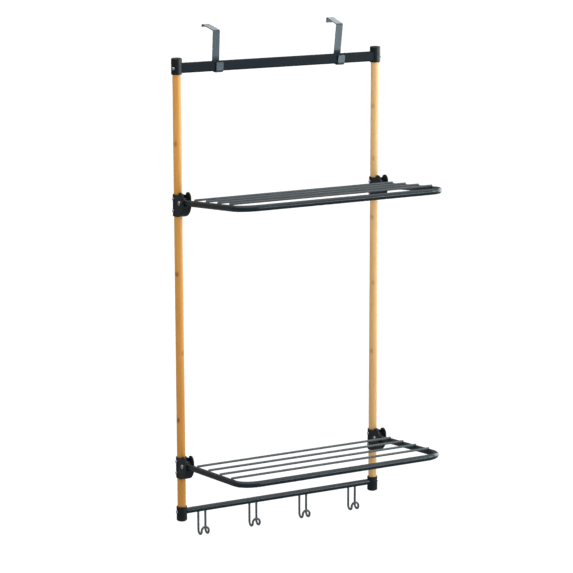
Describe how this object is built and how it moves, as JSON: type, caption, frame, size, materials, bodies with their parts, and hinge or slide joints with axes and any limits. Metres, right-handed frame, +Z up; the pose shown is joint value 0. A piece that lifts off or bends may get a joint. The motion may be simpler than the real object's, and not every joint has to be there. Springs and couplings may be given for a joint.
{
  "type": "over-the-door storage rack",
  "caption": "Over-the-door rack with bamboo posts, black bars, fold-up wire shelves, wire towel hooks and steel strips that hang it on a door.",
  "frame": {"origin": "the middle of the top bar, which the two door hooks carry, midway between the posts", "axes": "+X across the rack to the right, +Y towards the door, +Z up"},
  "size_m": [0.6154, 0.4465, 1.3474],
  "materials": {
    "bamboo": "clear lacquered bamboo, satin",
    "black_powder_coat": "fine black powder coat, satin",
    "black_plastic": "moulded black plastic, satin",
    "zinc_steel": "bright zinc plate"
  },
  "bodies": {
    "rack_frame": {"left_post": "bamboo", "right_post": "bamboo", "top_bar": "black_powder_coat", "bottom_bar": "black_powder_coat", "top_left_cap": "black_plastic", "top_left_cap_screw": "zinc_steel", "top_right_cap": "black_plastic", "top_right_cap_screw": "zinc_steel", "bottom_left_cap": "black_plastic", "bottom_left_cap_screw": "zinc_steel", "bottom_right_cap": "black_plastic", "bottom_right_cap_screw": "zinc_steel", "upper_left_bracket": "black_plastic", "upper_left_bracket_high_screw": "zinc_steel", "upper_left_bracket_low_screw": "zinc_steel", "upper_left_bracket_pivot_bolt": "zinc_steel", "upper_left_bracket_pivot_nut": "zinc_steel", "upper_right_bracket": "black_plastic", "upper_right_bracket_high_screw": "zinc_steel", "upper_right_bracket_low_screw": "zinc_steel", "upper_right_bracket_pivot_bolt": "zinc_steel", "upper_right_bracket_pivot_nut": "zinc_steel", "lower_left_bracket": "black_plastic", "lower_left_bracket_high_screw": "zinc_steel", "lower_left_bracket_low_screw": "zinc_steel", "lower_left_bracket_pivot_bolt": "zinc_steel", "lower_left_bracket_pivot_nut": "zinc_steel", "lower_right_bracket": "black_plastic", "lower_right_bracket_high_screw": "zinc_steel", "lower_right_bracket_low_screw": "zinc_steel", "lower_right_bracket_pivot_bolt": "zinc_steel", "lower_right_bracket_pivot_nut": "zinc_steel", "towel_hook_1": "black_powder_coat", "towel_hook_2": "black_powder_coat", "towel_hook_3": "black_powder_coat", "towel_hook_4": "black_powder_coat"},
    "upper_shelf": {"upper_shelf_tube": "black_powder_coat", "upper_shelf_wire_1": "black_powder_coat", "upper_shelf_wire_2": "black_powder_coat", "upper_shelf_wire_3": "black_powder_coat", "upper_shelf_wire_4": "black_powder_coat", "upper_shelf_left_eye": "black_plastic", "upper_shelf_right_eye": "black_plastic"},
    "lower_shelf": {"lower_shelf_tube": "black_powder_coat", "lower_shelf_wire_1": "black_powder_coat", "lower_shelf_wire_2": "black_powder_coat", "lower_shelf_wire_3": "black_powder_coat", "lower_shelf_wire_4": "black_powder_coat", "lower_shelf_left_eye": "black_plastic", "lower_shelf_right_eye": "black_plastic"},
    "left_strip_hook": {"left_door_hook": "black_powder_coat"},
    "right_strip_hook": {"right_door_hook": "black_powder_coat"}
  },
  "joints": [
    {"name": "upper_shelf_fold", "type": "hinge", "parent": "rack_frame", "child": "upper_shelf", "pos_m": [0, -0.0337, -0.3415], "axis": [-1, 0, 0], "range_deg": [0, 84]},
    {"name": "lower_shelf_fold", "type": "hinge", "parent": "rack_frame", "child": "lower_shelf", "pos_m": [0, -0.0337, -1.0415], "axis": [-1, 0, 0], "range_deg": [0, 84]},
    {"name": "left_hook_slide", "type": "slide", "parent": "rack_frame", "child": "left_strip_hook", "axis": [1, 0, 0], "range_m": [-0.08, 0.14]},
    {"name": "right_hook_slide", "type": "slide", "parent": "rack_frame", "child": "right_strip_hook", "axis": [1, 0, 0], "range_m": [-0.14, 0.08]}
  ]
}
